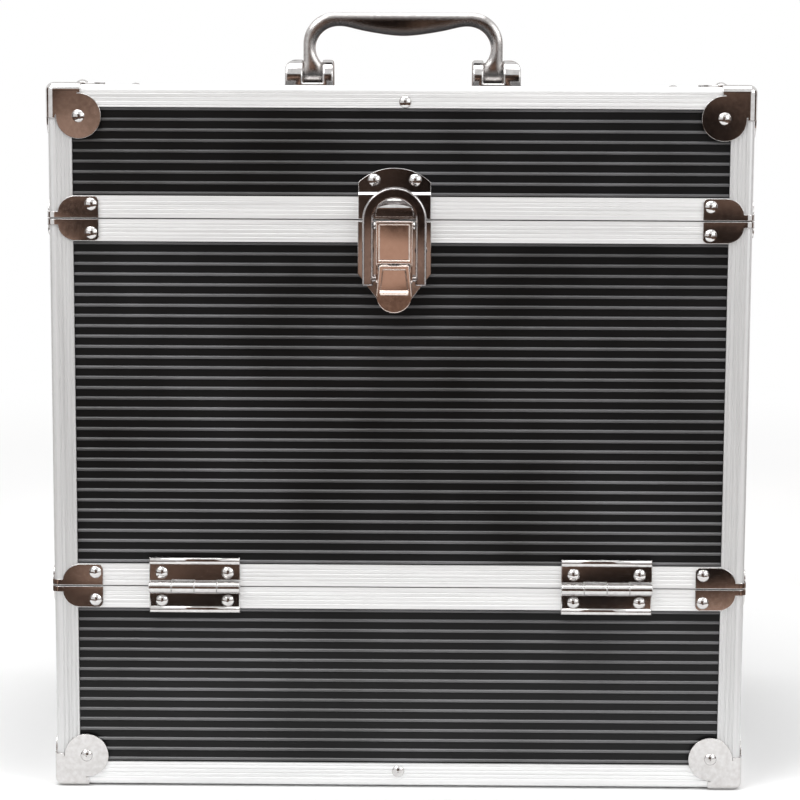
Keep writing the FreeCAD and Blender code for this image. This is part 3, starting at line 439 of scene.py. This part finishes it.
def merged_copy(node):
    """A copy of a node's mesh whose flat faces are whole, ready for bevels."""
    source = frame["nodes"][node]
    mesh = source.data.copy()
    obj = bpy.data.objects.new("soft_" + node, mesh)
    obj.matrix_world = source.matrix_world.copy()
    bpy.context.scene.collection.objects.link(obj)
    form = bmesh.new()
    form.from_mesh(mesh)
    bmesh.ops.remove_doubles(form, verts=form.verts, dist=MERGE_DISTANCE)
    bmesh.ops.dissolve_limit(
        form, angle_limit=math.radians(FLAT_ANGLE), verts=form.verts, edges=form.edges
    )
    form.to_mesh(mesh)
    form.free()
    for name in ("custom_normal", "sharp_edge", "sharp_face"):
        if name in mesh.attributes:
            mesh.attributes.remove(mesh.attributes[name])
    return obj


def round_edges(obj, width, limit):
    """Rounds the sharp edges and keeps the flat faces flat in their shading."""
    for face in obj.data.polygons:
        face.use_smooth = True
    bevel = obj.modifiers.new("edges", "BEVEL")
    bevel.width = width * MM
    bevel.segments = BEVEL_SEGMENTS
    bevel.limit_method = "ANGLE"
    bevel.angle_limit = math.radians(limit)
    bevel.use_clamp_overlap = True
    weights = obj.modifiers.new("shading", "WEIGHTED_NORMAL")
    weights.weight = 100
    weights.thresh = 0.01
    depsgraph = bpy.context.evaluated_depsgraph_get()
    mesh = bpy.data.meshes.new_from_object(obj.evaluated_get(depsgraph))
    obj.modifiers.clear()
    obj.data = mesh


def soften(node, width):
    """Pressed or cast piece with softened edges, in the node's place."""
    obj = merged_copy(node)
    round_edges(obj, width, HARDWARE_EDGE_ANGLE)
    dress(obj, MATERIALS[finish_of(node)])
    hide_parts(node)
    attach(obj, node_body(node))


# Rolled edges of the hinge leaves


def rolled_edge(name, body, ends, face, outward, level):
    """Rounded lip along a hinge leaf's free edge: half an ellipse in section, with closed ends."""
    section = []
    for i in range(LIP_STEPS + 1):
        turn = math.pi * i / LIP_STEPS
        section.append((LIP_PROUD * math.sin(turn), -LIP_HEIGHT / 2 * math.cos(turn)))
    stations = (
        (ends[0], LIP_END_SHARE),
        (ends[0] + LIP_END_INSET, 1.0),
        (ends[1] - LIP_END_INSET, 1.0),
        (ends[1], LIP_END_SHARE),
    )
    points = []
    for x, scale in stations:
        for out, up in section:
            points.append((x, face + outward * out * scale, level + up * scale))
    count = len(section)
    faces = []
    for first in range(0, len(points) - count, count):
        for a in range(first, first + count - 1):
            faces.append((a, a + 1, a + count + 1, a + count))
        faces.append((first + count - 1, first, first + count, first + 2 * count - 1))
    faces.append(tuple(range(count)))
    faces.append(tuple(range(len(points) - count, len(points))))
    mesh = bpy.data.meshes.new(name)
    mesh.from_pydata(points, [], faces)
    form = bmesh.new()
    form.from_mesh(mesh)
    bmesh.ops.recalc_face_normals(form, faces=form.faces)
    form.to_mesh(mesh)
    form.free()
    for polygon in mesh.polygons:
        polygon.use_smooth = len(polygon.vertices) == 4
    obj = bpy.data.objects.new(name, mesh)
    bpy.context.scene.collection.objects.link(obj)
    dress(obj, MATERIALS["chrome"])
    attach(obj, body)


def hinge_lips():
    """Each leaf's free edge is rolled over, above the seam or below it."""
    for node, (outward, side) in LEAVES.items():
        low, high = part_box(node)
        edge = high.z if side > 0 else low.z
        for name, start in (("left", low.x), ("right", high.x - LEAF_WIDTH)):
            rolled_edge(
                node.removesuffix("leaves") + name + "_lip",
                node_body(node),
                (start + LIP_SIDE_INSET, start + LEAF_WIDTH - LIP_SIDE_INSET),
                LEAF_FACES[outward],
                outward,
                edge - side * LIP_CENTRE_INSET,
            )


# Linings


def foam_sheet(node):
    """Foam lining: the node's sheets with rounded edges and a faintly uneven skin."""
    obj = merged_copy(node)
    round_edges(obj, FOAM_ROUNDING, FOAM_EDGE_ANGLE)
    dress(obj, MATERIALS["foam"])
    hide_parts(node)
    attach(obj, node_body(node))


def dress_facing(obj, axis, sign):
    """Sheet material, with the paler rib colour as a painted highlight on the crests and on the
    flanks that don't face down.
    """
    dress(obj, MATERIALS["sheet"])
    obj.data.materials.append(MATERIALS["ribs"])
    rib_highlight_slot = len(obj.data.materials) - 1
    heights = [sign * v.co[axis] for v in obj.data.vertices]
    crest = max(heights) - CREST_DEPTH
    for face in obj.data.polygons:
        on_crest = all(heights[i] > crest for i in face.vertices)
        on_flank = FLANK_LOW < sign * face.normal[axis] < FLANK_HIGH and face.normal.z > LOWEST_FLANK
        if on_crest or on_flank:
            face.material_index = rib_highlight_slot


def dress_all():
    for node, obj in frame["nodes"].items():
        if node in LININGS:
            foam_sheet(node)
        elif node in BEVELS:
            soften(node, BEVELS[node])
        elif node in FACINGS:
            dress_facing(obj, *FACINGS[node])
        else:
            dress(obj, MATERIALS[finish_of(node)])


# Floor, light and camera


def quad(name, corners, material):
    """Flat board that belongs to the studio and not to the case."""
    mesh = bpy.data.meshes.new(name)
    mesh.from_pydata(corners, [], [(0, 1, 2, 3)])
    obj = bpy.data.objects.new(name, mesh)
    bpy.context.scene.collection.objects.link(obj)
    obj.data.materials.append(material)
    return obj


def seen_rays(tree):
    """One for the camera's rays and for those it sees in reflections, nought for the rest."""
    path = tree.nodes.new("ShaderNodeLightPath")
    either = path.outputs["Is Camera Ray"]
    for other in ("Is Glossy Ray", "Is Transmission Ray"):
        most = tree.nodes.new("ShaderNodeMath")
        most.operation = "MAXIMUM"
        tree.links.new(either, most.inputs[0])
        tree.links.new(path.outputs[other], most.inputs[1])
        either = most.outputs[0]
    return either


def floor_material():
    """Pale floor that turns into plain white away from the case."""
    shader = Shader("pale_floor")
    shader.set(Base_Color=(0.9, 0.9, 0.9, 1), Roughness=0.7, Specular_IOR_Level=0.2)
    far = shader.add("ShaderNodeTexGradient", gradient_type="SPHERICAL")
    shader.link(shader.stretched((FLOOR_FADE_SCALE,) * 3), far.inputs["Vector"])
    near = shader.add("ShaderNodeMapRange", interpolation_type="SMOOTHSTEP")
    near.inputs["From Min"].default_value, near.inputs["From Max"].default_value = FLOOR_FADE_ENDS
    shader.link(far.outputs["Fac"], near.inputs["Value"])
    white = shader.add("ShaderNodeEmission")
    white.inputs["Strength"].default_value = 1.0
    unseen = shader.add("ShaderNodeMath", operation="SUBTRACT")
    unseen.inputs[0].default_value = 1.0
    shader.link(seen_rays(shader.tree), unseen.inputs[1])
    plain = shader.add("ShaderNodeMath", operation="MAXIMUM")
    shader.link(near.outputs["Result"], plain.inputs[0])
    shader.link(unseen.outputs[0], plain.inputs[1])
    mix = shader.add("ShaderNodeMixShader")
    shader.link(plain.outputs[0], mix.inputs["Fac"])
    shader.link(white.outputs[0], mix.inputs[1])
    shader.link(shader.bsdf.outputs[0], mix.inputs[2])
    shader.link(mix.outputs[0], shader.tree.nodes["Material Output"].inputs["Surface"])
    return shader.material


def floor():
    half = FLOOR_HALF
    corners = [(-half, -half, 0), (half, -half, 0), (half, half, 0), (-half, half, 0)]
    quad("floor", corners, floor_material())


def world():
    """White surroundings for the camera and reflections, and a plain level of light."""
    scene_world = bpy.data.worlds.new("studio")
    bpy.context.scene.world = scene_world
    scene_world.use_nodes = True
    tree = scene_world.node_tree
    lit = tree.nodes["Background"]
    lit.inputs["Color"].default_value = (1, 1, 1, 1)
    lit.inputs["Strength"].default_value = WORLD_LIGHT
    seen = tree.nodes.new("ShaderNodeBackground")
    seen.inputs["Color"].default_value = (1, 1, 1, 1)
    seen.inputs["Strength"].default_value = 1.0
    mix = tree.nodes.new("ShaderNodeMixShader")
    tree.links.new(seen_rays(tree), mix.inputs["Fac"])
    tree.links.new(lit.outputs[0], mix.inputs[1])
    tree.links.new(seen.outputs[0], mix.inputs[2])
    tree.links.new(mix.outputs[0], tree.nodes["World Output"].inputs["Surface"])


def lamp(name, place, target, size, power):
    data = bpy.data.lights.new(name, "AREA")
    data.shape = "RECTANGLE"
    data.size, data.size_y = size
    data.energy = power
    obj = bpy.data.objects.new(name, data)
    bpy.context.scene.collection.objects.link(obj)
    direction = Vector(target) - Vector(place)
    obj.location = place
    obj.rotation_euler = direction.to_track_quat("-Z", "Y").to_euler()


def dark_cards():
    """Boards round the case that glow dark brown to pinkish and that only the plated pieces mirror.
    """
    shader = Shader("glowing_reflection_boards")
    # Patches of brighter and darker glow on the boards
    glow_patches = shader.noise(CARD_GLOW_PATCHES, detail=1.0, stretch=(1.0, 1.0, 1.6))
    tone = shader.ramp(glow_patches, CARD_GLOW_TONES)
    glow = shader.add("ShaderNodeEmission")
    shader.link(tone, glow.inputs["Color"])
    shader.link(glow.outputs[0], shader.tree.nodes["Material Output"].inputs["Surface"])
    spread = math.tan(math.pi / CARD_COUNT)
    foot, top = Vector((0, 0, CARD_FOOT)), Vector((0, 0, CARD_TOP))
    for i in range(CARD_COUNT):
        turn = 2 * math.pi * i / CARD_COUNT
        across = Vector((math.cos(turn), math.sin(turn), 0))
        out = Vector((across.y, -across.x, 0))
        near, far = out * CARD_NEAR + foot, out * CARD_FAR + foot
        wall = across * CARD_HALF
        inner, outer = across * CARD_NEAR * spread, across * CARD_FAR * spread
        boards = {"ground": (near - inner, near + inner, far + outer, far - outer)}
        if i % 2 == 0:
            boards["wall"] = (far - wall, far + wall, far + wall + top, far - wall + top)
        for part, corners in boards.items():
            card = quad(f"card_{i}_{part}", [tuple(c) for c in corners], shader.material)
            card.visible_camera = False
            card.visible_diffuse = False
            card.visible_shadow = False


def camera():
    data = bpy.data.cameras.new("camera")
    data.lens = CAMERA_LENS
    data.sensor_width = SENSOR_WIDTH
    data.clip_start = 0.05
    obj = bpy.data.objects.new("camera", data)
    bpy.context.scene.collection.objects.link(obj)
    yaw, pitch, roll = (math.radians(a) for a in CAMERA_TURN)
    forward = Vector(
        (math.sin(yaw) * math.cos(pitch), math.cos(yaw) * math.cos(pitch), -math.sin(pitch))
    )
    level_right = Vector((math.cos(yaw), -math.sin(yaw), 0))
    level_up = level_right.cross(forward)
    right = level_right * math.cos(roll) + level_up * math.sin(roll)
    up = level_up * math.cos(roll) - level_right * math.sin(roll)
    turn = Matrix((right, up, -forward)).transposed().to_4x4()
    obj.matrix_world = Matrix.Translation([v * MM for v in CAMERA_PLACE]) @ turn
    bpy.context.scene.camera = obj


dress_all()
hinge_lips()
floor()
world()
camera()
dark_cards()
for lamp_name, (place, target, size, power) in LAMPS.items():
    lamp(lamp_name, place, target, size, power)

bpy.context.scene.view_settings.view_transform = "Standard"
